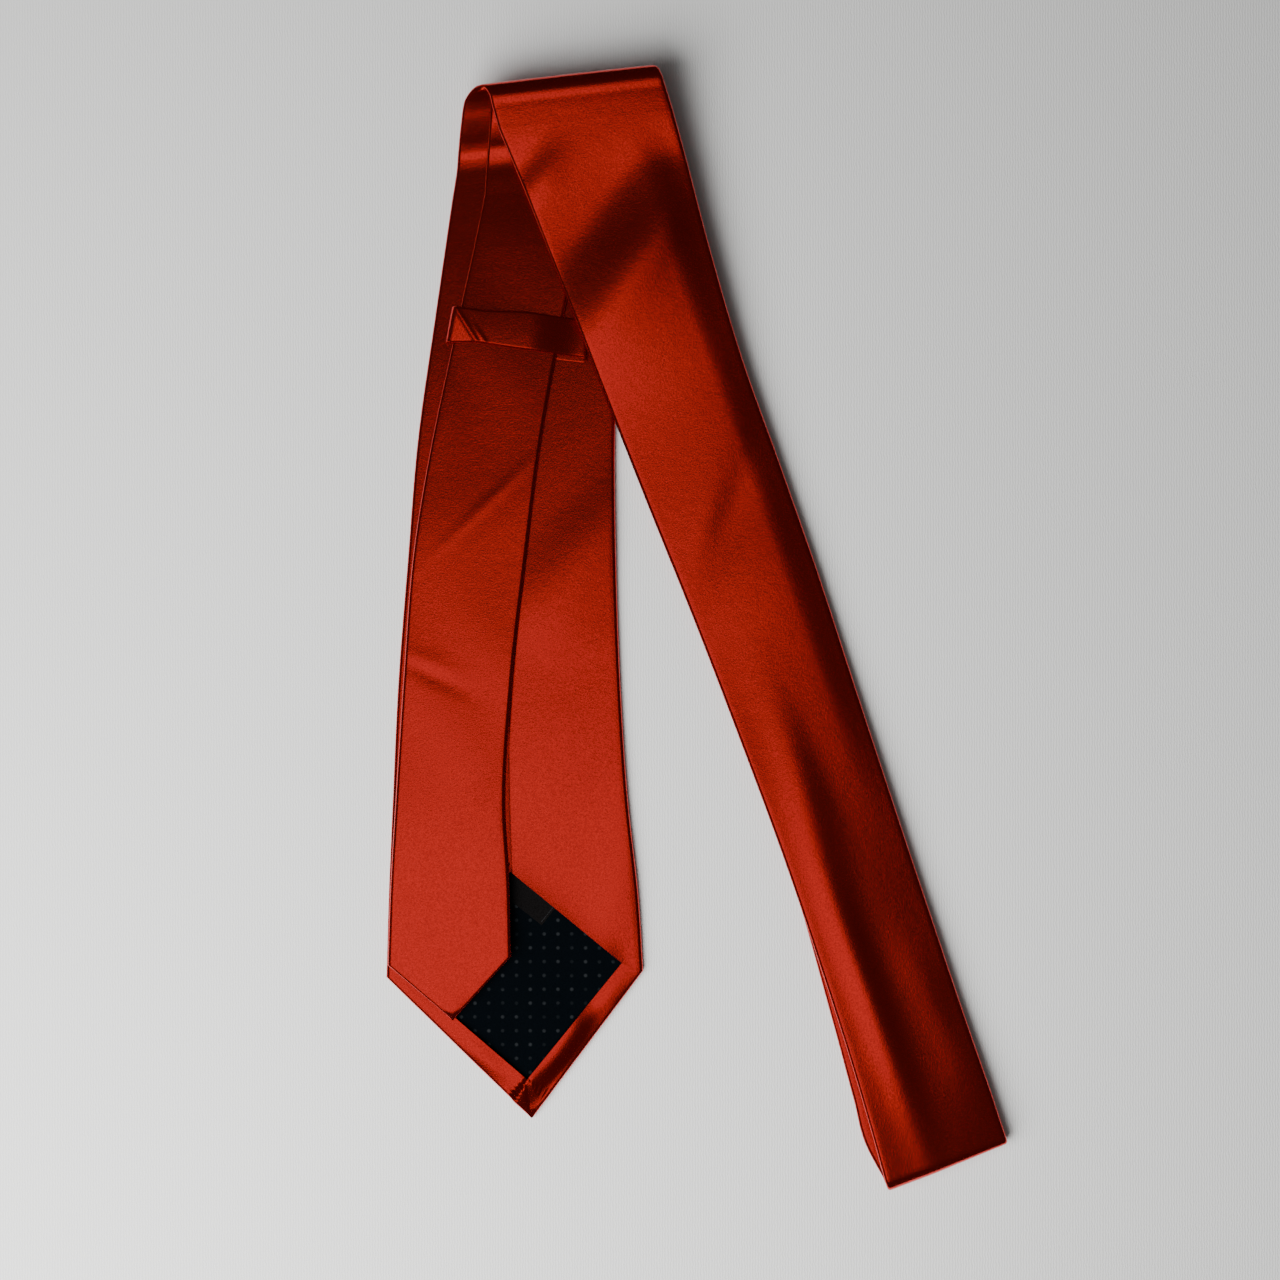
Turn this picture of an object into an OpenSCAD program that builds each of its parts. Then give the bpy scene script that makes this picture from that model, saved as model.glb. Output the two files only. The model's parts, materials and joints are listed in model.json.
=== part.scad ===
// Necktie lying folded on a table: the wide blade face down on the left, the strip folded
// over to the right and down to the neck, and the tail led back up and through the keeper.
// Millimetres. X runs across, Y along the tie towards the top fold, Z up from the table.

/* [Wide blade] */
// Width of the wide blade between its two lower corners
blade_w = 89; // [86:0.5:92]
// Distance from the corners of the wide blade to its tip
blade_point = 50; // [46:1:54]
// Width of the turned hem around the point of the wide blade
hem_w = 8; // [6:0.5:9]

/* [Tail] */
// Width of the tail between its two lower corners
tail_w = 42.8; // [40:0.2:44]
// Distance from the corners of the tail to its tip
tail_point = 20.5; // [18:0.5:23]

/* [Neck] */
// Width of the neck at the lower fold
neck_w = 43.6; // [42:0.2:44]
// Length of the strip between the top fold and the lower fold
strip_l = 389.9; // [380:0.1:393]
// Angle of the right strip from the Y axis
strip_tilt = 19.6; // [19:0.1:20]
// Height of the top fold above the table
fold_h = 14.6; // [14:0.2:16]

/* [Layers] */
// Thickness of one layer of the tie, shell and interlining together
layer_t = 2; // [1.8:0.1:2]
// Air between two layers of the same strip
layer_gap = 1; // [0.9:0.05:1]
// Thickness of the folded shell fabric
wall = 0.4; // [0.3:0.05:0.4]
// Thickness of the wool interlining
interlining_t = 0.6; // [0.4:0.05:0.6]

/* [Keeper loop] */
// Width of the band of the keeper loop
keeper_w = 13.2; // [11:0.2:14]
// Length of the flattened keeper loop across the tail
keeper_l = 49.4; // [49:0.1:50]
// Thickness of the band of the keeper loop
keeper_t = 0.6; // [0.4:0.05:0.6]

/* [Label] */
// Length of the woven label
label_l = 26; // [20:1:28]
// Width of the woven label
label_w = 10; // [8:0.5:11]

/* [Hidden] */
$fn = 48;

satin = [0.60, 0.12, 0.08];
lining = [0.04, 0.05, 0.07];
wool = [0.86, 0.82, 0.72];
thread = [0.50, 0.09, 0.07];

// heights of the four layers, from the table up
blade_z = 0;
tail_z = blade_z + layer_t + layer_gap;
fold_z = fold_h / 2;
back_z = fold_h - tail_z - layer_t;
front_z = fold_h - layer_t;

// the four radii of the top fold, about its axis
fold_r_out = fold_z;
fold_r_in = front_z - fold_z;
tail_r_out = fold_z - tail_z;
tail_r_in = tail_r_out - layer_t;

// axis of the top fold, and the length of the bent fabric along it
fold_at = [-43.77, 182];
fold_tilt = 6.5;
fold_ends = [-33, 31];
tail_fold_ends = [-24, 13];
joint_gap = 0.2;

// axis of the lower fold, in the strip's own frame
neck_r = layer_t + layer_gap / 2;
neck_s = strip_l - neck_r;
neck_ends = [-22.2, 22.3];

// Stations of each layer: place along the layer, centre across it, width.
// The blade and the tail are measured along Y, the strip's layers along the strip.
blade_st = [
    [-119.4, -63.52, blade_w], [-59, -64.5, blade_w - 7], [24, -64, blade_w - 16.5],
    [110, -58.2, blade_w - 23.5], [183.2, -48, blade_w - 26], [200, -46, blade_w - 26]
];
tail_st = [
    [-114.5, -85.4, tail_w], [-59, -85.1, tail_w - 4.7], [45, -76.1, tail_w - 3.5],
    [112, -63.6, tail_w - 6.3], [181, -50.3, tail_w - 6], [200, -48, tail_w - 6]
];
front_st = [
    [-25, 2.8, 59.6], [0, 2.8, 59], [105, 2.4, neck_w + 5.9], [275, 3.2, neck_w - 1],
    [strip_l + 20, 0.8, neck_w]
];
back_st = [
    [-25, -2.8, 36.5], [105, -1.8, 36.5], [275, 1.4, 38], [380, -2.8, 42], [strip_l + 20, -2.8, 42]
];
blade_tip = [-57.1, -119.4 - blade_point];
tail_tip = [-84.2, -114.5 - tail_point];

// the strip comes down from the fold, lies level over the keeper, then comes down to the table
keeper_top = 5.9;
level_z = keeper_top + 0.3;
strip_rests = [
    [-30, back_z], [0, back_z], [62, level_z], [100, level_z], [255, 0], [strip_l + 30, 0]
];

// openings in the backs of the two ends, where the lining shows
blade_apex = [-64.2, -83.9];
blade_window = [blade_apex, [-104, -116.5], [-58.7, blade_tip[1] + 1.7 * hem_w], [-25.8, -115.2]];
tail_apex = [-85.3, -97];
tail_window = [tail_apex, [-103.5, -113], [-84.4, tail_tip[1] + 5], [-67.5, -111.5]];

// panel joins, cut on the bias, both in the strip's back layer
blade_join_s = 311;
tail_join_s = 88;
bias = 45;
tail_slack_y = 135;
join_stitches_h = 1.35;

keeper_at = [-61.4, 102.6];
keeper_turn = -6;
keeper_h = 3.8;
keeper_z = keeper_top - keeper_h;

label_at = [-60.6, -90.4];
label_turn = -38.5;
label_z = 1.33;
label_t = 0.24;
tipping_t = 0.2;
thread_d = 0.3;
seam_w = 0.5;
stitch_l = 3;
stitch_pitch = 12;
stitches_from = 14;
tack_w = 1.2;
tack_t = 0.3;
label_inset = 1.2;
interlining_inset = wall + 0.4;
clear = 0.05;
far = 300; // reach of the blocks that cut the layers to length
tall = 30;

function side(st, k) = [for (q = st) [q[1] + k * q[2] / 2, q[0]]];
function turned(p) = [for (q = p) [q[1], q[0]]];
function backwards(p) = [for (i = [len(p) - 1:-1:0]) p[i]];
function strip_outline(st) = concat(side(st, 1), backwards(side(st, -1)));
function tipped_outline(st, tip) = concat([tip], strip_outline(st));
function centre(st, a) = lookup(a, [for (q = st) [q[0], q[1]]]);
function seam_st(st, w) = [for (q = st) [q[0], q[1], w]];

// a closed outline moved inwards by d, corner by corner
function inwards(p, d) = [
    for (i = [0:len(p) - 1])
        let (
            a = p[(i + len(p) - 1) % len(p)], b = p[i], c = p[(i + 1) % len(p)],
            u = (b - a) / norm(b - a), v = (c - b) / norm(c - b),
            nu = [-u[1], u[0]], nv = [-v[1], v[0]]
        )
        b + d * (nu + nv) / (1 + nu * nv)
];

// side view of one layer of the strip, from h above its underside, t thick
function side_view(h, t) = concat(
    [for (q = strip_rests) [q[0], q[1] + h]],
    backwards([for (q = strip_rests) [q[0], q[1] + h + t]])
);

module slab(p, z, t) { translate([0, 0, z]) linear_extrude(t) polygon(p); }
module in_fold() { translate([fold_at[0], fold_at[1], fold_z]) rotate([0, 0, fold_tilt]) children(); }
module in_strip() { translate([fold_at[0], fold_at[1], 0]) rotate([0, 0, strip_tilt - 90]) children(); }
module before_fold() {
    in_fold() translate([-far, -2 * far - joint_gap, -far]) cube([2 * far, 2 * far, 2 * far]);
}
module north_of(y) { translate([-far, y, -tall / 2]) cube([2 * far, far, tall]); }
module south_of(y) { translate([-far, y - far, -tall / 2]) cube([2 * far, far, tall]); }
module strip_cut(s) { translate([s, 0, -tall / 2]) rotate([0, 0, bias]) children(); }
module strip_from(s) { strip_cut(s) translate([clear, -far, 0]) cube([2 * far, 2 * far, tall]); }
module strip_until(s) { strip_cut(s) translate([-2 * far, -far, 0]) cube([2 * far, 2 * far, tall]); }
module before_neck_bend() {
    translate([neck_s - 3 * far, -far, -tall / 2]) cube([3 * far, 2 * far, tall]);
}

// half tube on the far side of an axis that runs along X
module half_tube(r_in, r_out, ends) {
    translate([ends[0], 0, 0]) rotate([0, 90, 0]) rotate_extrude(angle = 180)
        polygon([[r_in, 0], [r_out, 0], [r_out, ends[1] - ends[0]], [r_in, ends[1] - ends[0]]]);
}

module hollow_half_tube(r_in, r_out, ends) {
    difference() {
        half_tube(r_in, r_out, ends);
        half_tube(r_in + wall, r_out - wall, [ends[0] + wall, ends[1] - wall]);
    }
}

// a closed envelope of shell fabric, z to z + layer_t
module envelope(p, z) {
    difference() {
        slab(p, z, layer_t);
        slab(inwards(p, wall), z + wall, layer_t - 2 * wall);
    }
}

// a layer of the strip: its plan outline st and its side view p
module strip_solid(st, inset, h, t) {
    intersection() {
        slab(inwards(turned(backwards(strip_outline(st))), inset), -tall / 2, tall);
        rotate([90, 0, 0]) linear_extrude(far, center = true) polygon(side_view(h, t));
    }
}

module strip_seam(st, h) { strip_solid(seam_st(st, seam_w), 0, h - clear, wall + 2 * clear); }

module neck_bend(r_in, r_out, inset) {
    translate([neck_s, 0, neck_r]) rotate([0, 0, -90])
        half_tube(r_in, r_out, [-neck_ends[1] + inset, -neck_ends[0] - inset]);
}

module stitch_row(st, from, to, z) {
    for (y = [from:stitch_pitch:to])
        translate([centre(st, y), y, z])
            rotate([-90, 0, atan((centre(st, y) - centre(st, y + stitch_l)) / stitch_l)])
                cylinder(h = stitch_l, d = thread_d, $fn = 16);
}

module strip_stitch_row(st, from, to, h) {
    for (s = [from:stitch_pitch:to])
        translate([s, centre(st, s), lookup(s + stitch_l / 2, strip_rests) + h])
            rotate([0, 90, atan((centre(st, s + stitch_l) - centre(st, s)) / stitch_l)])
                cylinder(h = stitch_l, d = thread_d, $fn = 16);
}

// a row of machine stitches across the strip, along a bias join
module join_row(s, half_w, h) {
    for (k = [-0.8:0.2:0.8])
        translate([s - k * half_w, k * half_w, lookup(s - k * half_w, strip_rests) + h])
            rotate([0, 0, bias]) rotate([-90, 0, 0])
                cylinder(h = stitch_l, d = thread_d, center = true, $fn = 16);
}

module blade_shell() {
    p = tipped_outline(blade_st, blade_tip);
    back = blade_z + layer_t - wall - clear;
    color(satin) intersection() {
        difference() {
            envelope(p, blade_z);
            slab(blade_window, back, wall + 2 * clear);
            intersection() {
                slab(strip_outline(seam_st(blade_st, seam_w)), back, wall + 2 * clear);
                north_of(blade_apex[1] - 1);
            }
        }
        before_fold();
    }
}

module blade_interlining() {
    p = tipped_outline(blade_st, blade_tip);
    color(wool) intersection() {
        slab(inwards(p, interlining_inset), blade_z + wall + clear, interlining_t);
        before_fold();
    }
}

module blade_tipping() {
    p = tipped_outline(blade_st, blade_tip);
    color(lining) intersection() {
        slab(inwards(p, wall + 1.4), blade_z + wall + interlining_t + 2 * clear, tipping_t);
        south_of(blade_apex[1] + 8);
    }
}

module blade_bar_tack() {
    color(thread) translate([blade_apex[0] - 3, blade_apex[1] + 0.4, blade_z + layer_t + clear])
        cube([6, tack_w, tack_t]);
}

module blade_slip_stitch() {
    color(thread) stitch_row(blade_st, blade_apex[1] + 4, 176, blade_z + layer_t - wall / 2);
}

module in_label() { translate([label_at[0], label_at[1], 0]) rotate([0, 0, label_turn]) children(); }

module label_corners() {
    for (x = [label_inset, label_l / 2, label_l - label_inset])
        translate([x - label_l / 2, label_w / 2 - label_inset, 0]) children();
}

module label() {
    color(lining) in_label() difference() {
        translate([-label_l / 2, -label_w / 2, label_z]) cube([label_l, label_w, label_t]);
        label_corners() cylinder(h = 3, d = thread_d + 2 * clear, $fn = 16);
    }
}

module label_stitches() {
    color(thread) in_label() label_corners()
        translate([0, 0, label_z - 0.02]) cylinder(h = label_t + 0.03, d = thread_d, $fn = 16);
}

module in_keeper() {
    translate([keeper_at[0], keeper_at[1], keeper_z + keeper_h / 2])
        rotate([0, 0, keeper_turn]) children();
}

// a flattened ring with round ends, lying across the tail
module keeper_profile(h) {
    translate([-(keeper_l - keeper_h) / 2, 0]) circle(d = h);
    translate([(keeper_l - keeper_h) / 2, 0]) circle(d = h);
    square([keeper_l - keeper_h, h], center = true);
}

module keeper_tack_places() {
    for (x = [-1.5, 1.5], y = [-4, 0, 4]) translate([x, y, -keeper_h / 2]) children();
}

module keeper_loop() {
    color(satin) in_keeper() difference() {
        rotate([90, 0, 0]) linear_extrude(keeper_w, center = true) difference() {
            keeper_profile(keeper_h);
            keeper_profile(keeper_h - 2 * keeper_t);
        }
        keeper_tack_places()
            cylinder(h = 3 * keeper_t, d = thread_d + 2 * clear, center = true, $fn = 16);
    }
}

module keeper_tack() {
    color(thread) in_keeper() keeper_tack_places()
        translate([0, 0, -clear]) cylinder(h = keeper_t + 2 * clear, d = thread_d, $fn = 16);
}

module top_fold_shell() { color(satin) in_fold() hollow_half_tube(fold_r_in, fold_r_out, fold_ends); }

module top_fold_interlining() {
    r = fold_r_out - wall - clear;
    color(wool) in_fold() half_tube(r - interlining_t, r, [fold_ends[0] + 1, fold_ends[1] - 1]);
}

module tail_fold_shell() {
    color(satin) in_fold() hollow_half_tube(tail_r_in, tail_r_out, tail_fold_ends);
}

module tail_fold_interlining() {
    r = tail_r_in + wall + clear;
    color(wool) in_fold()
        half_tube(r, r + interlining_t, [tail_fold_ends[0] + 1, tail_fold_ends[1] - 1]);
}

// the front layer of the strip, face up, with its seam down
module front_panel() {
    difference() {
        strip_solid(front_st, 0, layer_t + layer_gap, layer_t);
        strip_solid(front_st, wall, layer_t + layer_gap + wall, layer_t - 2 * wall);
        strip_seam(front_st, layer_t + layer_gap);
    }
}

// the back layer of the strip lies face down, with its seam up
module back_panel() {
    difference() {
        strip_solid(back_st, 0, 0, layer_t);
        strip_solid(back_st, wall, wall, layer_t - 2 * wall);
        strip_seam(back_st, layer_t - wall);
    }
}

// the blade's own panel: the front layer, the lower fold and the back layer up to the first join
module blade_shell_upper() {
    color(satin) intersection() {
        in_strip() {
            intersection() {
                union() {
                    front_panel();
                    intersection() {
                        back_panel();
                        strip_from(blade_join_s);
                    }
                }
                before_neck_bend();
            }
            difference() {
                neck_bend(layer_gap / 2, neck_r, 0);
                neck_bend(layer_gap / 2 + wall, neck_r - wall, wall);
            }
        }
        before_fold();
    }
}

module neck_shell() {
    color(satin) in_strip() intersection() {
        back_panel();
        strip_from(tail_join_s);
        strip_until(blade_join_s);
    }
}

module tail_shell_upper() {
    color(satin) intersection() {
        in_strip() intersection() {
            back_panel();
            strip_until(tail_join_s);
        }
        before_fold();
    }
}

module neck_interlining() {
    r = neck_r - wall - clear;
    color(wool) intersection() {
        in_strip() {
            intersection() {
                union() {
                    strip_solid(front_st, interlining_inset, neck_r + r - interlining_t, interlining_t);
                    strip_solid(back_st, interlining_inset, wall + clear, interlining_t);
                }
                before_neck_bend();
            }
            neck_bend(r - interlining_t, r, interlining_inset + 1);
        }
        before_fold();
    }
}

module blade_join_seam() { color(thread) in_strip() join_row(blade_join_s, 18, join_stitches_h); }

module tail_join_seam() { color(thread) in_strip() join_row(tail_join_s, 16, join_stitches_h); }

module neck_front_slip_stitch() {
    color(thread) in_strip()
        strip_stitch_row(front_st, stitches_from, neck_s - 8, layer_t + layer_gap + wall / 2);
}

module neck_back_slip_stitch() {
    color(thread) in_strip()
        strip_stitch_row(back_st, stitches_from, neck_s - 8, layer_t - wall / 2);
}

module whole_tail() {
    p = tipped_outline(tail_st, tail_tip);
    intersection() {
        difference() {
            envelope(p, tail_z);
            slab(tail_window, tail_z - clear, wall + 2 * clear);
            intersection() {
                slab(strip_outline(seam_st(tail_st, seam_w)), tail_z - clear, wall + 2 * clear);
                north_of(tail_apex[1] - 1);
            }
        }
        before_fold();
    }
}

module whole_tail_interlining() {
    p = tipped_outline(tail_st, tail_tip);
    intersection() {
        slab(inwards(p, interlining_inset), tail_z + layer_t - wall - clear - interlining_t,
             interlining_t);
        before_fold();
    }
}

module tail_slack_shell() {
    color(satin) intersection() { whole_tail(); north_of(tail_slack_y + clear); }
}

module tail_slack_interlining() {
    color(wool) intersection() { whole_tail_interlining(); north_of(tail_slack_y + clear); }
}

module tail_shell() { color(satin) intersection() { whole_tail(); south_of(tail_slack_y); } }

module tail_interlining() {
    color(wool) intersection() { whole_tail_interlining(); south_of(tail_slack_y); }
}

module tail_tipping() {
    p = tipped_outline(tail_st, tail_tip);
    color(lining) intersection() {
        slab(inwards(p, wall + 1), tail_z + wall + clear, tipping_t);
        south_of(tail_apex[1] + 5);
    }
}

module tail_bar_tack() {
    color(thread) translate([tail_apex[0] - 2.5, tail_apex[1] + 0.4, tail_z - clear - tack_t])
        cube([5, tack_w, tack_t]);
}

module tail_slip_stitch() {
    color(thread) stitch_row(tail_st, tail_apex[1] + 4, tail_slack_y - 6, tail_z + wall / 2);
}

blade_shell();
blade_interlining();
blade_tipping();
blade_bar_tack();
blade_slip_stitch();
label();
label_stitches();
keeper_loop();
keeper_tack();
top_fold_shell();
top_fold_interlining();
tail_fold_shell();
tail_fold_interlining();
blade_shell_upper();
neck_shell();
tail_shell_upper();
neck_interlining();
blade_join_seam();
tail_join_seam();
neck_front_slip_stitch();
neck_back_slip_stitch();
tail_slack_shell();
tail_slack_interlining();
tail_shell();
tail_interlining();
tail_tipping();
tail_bar_tack();
tail_slip_stitch();
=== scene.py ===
"""A folded satin necktie: cloth shells, linings, keeper loop and stitching round the CAD frame."""

import json
import math

import bmesh
import bpy
import numpy as np
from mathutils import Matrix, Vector

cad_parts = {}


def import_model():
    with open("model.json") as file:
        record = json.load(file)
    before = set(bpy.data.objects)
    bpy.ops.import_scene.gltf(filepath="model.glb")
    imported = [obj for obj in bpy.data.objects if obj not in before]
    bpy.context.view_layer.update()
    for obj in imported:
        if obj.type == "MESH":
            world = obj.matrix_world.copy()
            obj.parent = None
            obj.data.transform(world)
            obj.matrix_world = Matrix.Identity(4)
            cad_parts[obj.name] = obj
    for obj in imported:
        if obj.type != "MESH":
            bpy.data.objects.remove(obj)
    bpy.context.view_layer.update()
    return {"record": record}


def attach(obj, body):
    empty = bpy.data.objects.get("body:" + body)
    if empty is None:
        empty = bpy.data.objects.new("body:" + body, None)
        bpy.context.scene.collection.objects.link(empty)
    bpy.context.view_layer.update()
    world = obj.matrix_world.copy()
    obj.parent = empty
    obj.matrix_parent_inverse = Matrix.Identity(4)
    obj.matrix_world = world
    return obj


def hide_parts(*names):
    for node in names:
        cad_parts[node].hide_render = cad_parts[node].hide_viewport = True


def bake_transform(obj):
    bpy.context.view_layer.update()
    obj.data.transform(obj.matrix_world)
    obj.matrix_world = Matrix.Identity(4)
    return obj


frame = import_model()

# ---------------------------------------------------------------- layout, in millimetres
MM = 0.001

# The top fold's own frame: FOLD_AT is the axis the layers bend round, ALONG runs along the fold
# and OVER away from the strips. The hinge sits a little beyond it, where the cloth rolls.
HINGE = next(j for j in frame["record"]["behaviour"]["joints"] if j["name"] == "top_fold")
HINGE_BEYOND = 4.3
ALONG = -np.array(HINGE["axis"][:2], float)
OVER = np.array([-ALONG[1], ALONG[0]])
FOLD_AT = np.array(HINGE["pos_m"][:2], float) / MM - HINGE_BEYOND * OVER

# The right strip's own frame: DOWN runs down the strip and ACROSS to its right.
STRIP_TILT = math.radians(19.6)
DOWN = np.array([math.sin(STRIP_TILT), -math.cos(STRIP_TILT)])
ACROSS = np.array([math.cos(STRIP_TILT), math.sin(STRIP_TILT)])

HALF = 1.0  # half the thickness of one layer
INNER_HALF = 0.9  # the same inside the top fold, where the cloth is pressed
EDGE = 1.3  # how far the rolled edge reaches in from the outline
PUFF = 0.15  # how much fuller a layer is in its middle than at its edges
BLADE_MID = HALF * (1 + PUFF) + 0.13  # height of the middle of the blade's cloth
TAIL_MID = 4.1  # and of the tail's


def from_fold(a, b):
    return FOLD_AT + np.multiply.outer(a, ALONG) + np.multiply.outer(b, OVER)


def from_strip(s, t):
    return FOLD_AT + np.multiply.outer(s, DOWN) + np.multiply.outer(t, ACROSS)


def to_strip(x, y):
    d = np.stack([x - FOLD_AT[0], y - FOLD_AT[1]], -1)
    return d @ DOWN, d @ ACROSS


def to_fold(x, y):
    d = np.stack([x - FOLD_AT[0], y - FOLD_AT[1]], -1)
    return d @ ALONG, d @ OVER


# ---------------------------------------------------------------- curves and fields
def curve(points, step, rows=False):
    """A smooth line through given points, sampled about every step along its first two
    columns, or along the middle of rows of left and right ends."""
    p = np.asarray(points, float)
    middle = (p[:, 0:2] + p[:, 2:4]) / 2 if rows else p[:, 0:2]
    d = np.r_[0, np.cumsum(np.linalg.norm(np.diff(middle, axis=0), axis=1))]
    slope = np.gradient(p, d, axis=0)
    s = np.linspace(0, d[-1], max(2, round(d[-1] / step) + 1))
    i = np.clip(np.searchsorted(d, s, side="right") - 1, 0, len(d) - 2)
    h = (d[i + 1] - d[i])[:, None]
    f = (s - d[i])[:, None] / h
    return (
        p[i] * (2 * f**3 - 3 * f**2 + 1)
        + slope[i] * h * (f**3 - 2 * f**2 + f)
        + p[i + 1] * (3 * f**2 - 2 * f**3)
        + slope[i + 1] * h * (f**3 - f**2)
    )


def straight(start, end, step):
    """Rows that run evenly from one row to another."""
    a, b = np.asarray(start, float), np.asarray(end, float)
    n = max(2, round(np.linalg.norm((b - a).reshape(-1, 2).mean(0)) / step) + 1)
    return a + np.linspace(0, 1, n)[:, None] * (b - a)


def smooth(x, low, high):
    """0 before low, 1 after high, and smooth between."""
    f = np.clip((x - low) / (high - low), 0, 1)
    return f * f * (3 - 2 * f)


def ridge(x, y, at, angle, length, width, height):
    """A long soft swelling, or a hollow where height is below 0. angle is from the X axis."""
    c, s = math.cos(math.radians(angle)), math.sin(math.radians(angle))
    u, v = (x - at[0]) * c + (y - at[1]) * s, (y - at[1]) * c - (x - at[0]) * s
    return height * np.exp(-((u / length) ** 2) - (v / width) ** 2)


def ripple(x, y, size, height, turn=0.0):
    """Soft irregular unevenness of handled cloth, about size apart."""
    k = 2 * math.pi / size
    return height * (
        np.sin(k * x * 0.9 + 1.3 * np.sin(k * y * 0.41 + turn) + turn)
        * np.sin(k * y * 0.63 + 1.1 * np.sin(k * x * 0.52 - turn) + 2 * turn)
    )


# ---------------------------------------------------------------- outlines
# Each row of an outline is its left end and its right end: left x, left y, right x, right y.
BLADE_TIP = (-57.1, -169.5)
BLADE_CORNERS = [-107.6, -120.6, -18.4, -118.4]
BLADE_ROWS = [
    BLADE_CORNERS,
    [-106.9, -95.0, -19.9, -94.0],
    [-105.4, -59.0, -23.7, -59.0],
    [-103.4, -17.0, -26.4, -17.0],
    [-100.2, 24.0, -27.8, 24.0],
    [-96.7, 66.0, -28.2, 67.0],
    [-90.8, 108.0, -26.4, 111.0],
]
TAIL_TIP = (-84.3, -135.0)
TAIL_CORNERS = [-106.8, -116.0, -64.0, -113.0]
TAIL_ROWS = [
    TAIL_CORNERS,
    [-105.9, -90.0, -64.6, -88.0],
    [-104.1, -59.0, -66.1, -60.0],
    [-101.4, -17.0, -63.8, -19.0],
    [-97.9, 27.0, -58.7, 26.0],
    [-92.6, 60.0, -54.2, 62.0],
    [-84.8, 97.5, -48.1, 97.0],
    [-77.2, 132.0, -40.6, 134.0],
]
FOLD_START = -28.0  # where the blade's last flat row lies, in the fold's frame
FOLD_END = -8.0  # where the strip's first row lies
# The two layers led round the top fold, in its own frame, from the blade to the strip: place
# over the fold and height of a layer's middle, then its left and its right end along the fold.
# The outer layer is the blade's, the inner one the tail's.
OUTER_LINE = [
    (FOLD_START, BLADE_MID, -44.5, 19.4), (-22, 1.30, -42.8, 19.8), (-17, 1.42, -41.5, 20.4),
    (-13, 1.95, -40.7, 20.9), (-10, 3.0, -40.0, 21.4), (-6, 4.8, -39.0, 22.2),
    (-2, 6.5, -37.9, 23.1), (1.8, 8.0, -36.8, 24.1), (5.0, 9.6, -35.2, 25.8),
    (7.2, 11.5, -32.0, 28.4), (6.9, 13.3, -28.9, 31.2), (4.8, 14.2, -27.4, 32.2),
    (0, 13.82, -26.5, 33.3), (FOLD_END, 12.95, -25.2, 34.9),
]
INNER_LINE = [
    (FOLD_START, TAIL_MID, -33.0, 4.5), (-24, 4.12, -32.3, 5.2), (-17, 4.25, -31.0, 6.6),
    (-12.5, 5.1, -30.1, 7.5), (-9, 6.6, -29.3, 8.3), (-4, 8.4, -28.2, 9.4),
    (1.6, 9.7, -26.6, 11.2), (2.8, 10.5, -25.6, 12.3), (1.6, 11.2, -24.4, 13.4),
    (-3, 11.25, -22.4, 15.3), (FOLD_END, 10.75, -20.4, 17.0),
]
BLADE_FOLD_ENDS, STRIP_FOLD_ENDS = OUTER_LINE[0][2:], OUTER_LINE[-1][2:]
TAIL_FOLD_ENDS, BACK_FOLD_ENDS = INNER_LINE[0][2:], INNER_LINE[-1][2:]


def fold_row(ends, b):
    return np.r_[from_fold(ends[0], b), from_fold(ends[1], b)]


BLADE_ROWS.append(list(fold_row(BLADE_FOLD_ENDS, FOLD_START)))
TAIL_ROWS.append(list(fold_row(TAIL_FOLD_ENDS, FOLD_START)))

# The right strip, front and back layer: place down the strip and across it, left then right.
STRIP_END = 387.6
FRONT_ROWS = [
    [14.2, -25.6, 28.2, 31.4],
    [52.0, -24.0, 62.0, 28.7],
    [100.0, -22.5, 104.0, 26.6],
    [140.0, -21.2, 142.0, 26.8],
    [182.0, -19.5, 183.0, 26.6],
    [227.0, -18.4, 228.0, 25.4],
    [272.0, -17.9, 272.0, 24.3],
    [312.0, -18.6, 312.0, 23.5],
    [347.0, -19.8, 347.0, 22.9],
    [372.0, -21.3, 371.0, 22.7],
    [STRIP_END, -22.4, STRIP_END, 22.3],
]
BACK_ROWS = [
    [STRIP_END, -22.4, STRIP_END, 22.3],
    [376.0, -24.2, 374.0, 19.6],
    [358.0, -23.0, 340.0, 19.0],
    [331.5, -20.9, 292.0, 19.2],
    [262.0, -16.8, 224.0, 19.8],
    [200.0, -18.0, 165.0, 18.6],
    [140.0, -19.2, 110.0, 17.4],
    [108.0, -20.0, 68.0, 16.5],
    [60.0, -20.6, 50.0, 16.2],
    [14.2, -20.6, 23.2, 16.4],
]
BLADE_JOIN_ROW = 3  # the rows of BACK_ROWS along which the neck panel is joined on
TAIL_JOIN_ROW = 7


def plan_rows(rows):
    """Rows of the strip's own frame as rows of the plan."""
    r = np.asarray(rows, float)
    return np.hstack([from_strip(r[:, 0], 0 * r[:, 0]) + np.outer(r[:, 1], ACROSS),
                      from_strip(r[:, 2], 0 * r[:, 2]) + np.outer(r[:, 3], ACROSS)])


# the keeper loop's own frame
KEEPER_AT = np.array([-61.4, 102.9])
KEEPER_TURN = math.radians(-5.6)
KEEPER_X = np.array([math.cos(KEEPER_TURN), math.sin(KEEPER_TURN)])
KEEPER_Y = np.array([-KEEPER_X[1], KEEPER_X[0]])
KEEPER_HALF = 6.5
KEEPER_CLOTH = dict(half=0.5, edge=0.6, puff=0.1, seam_dip=0.1)
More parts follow.
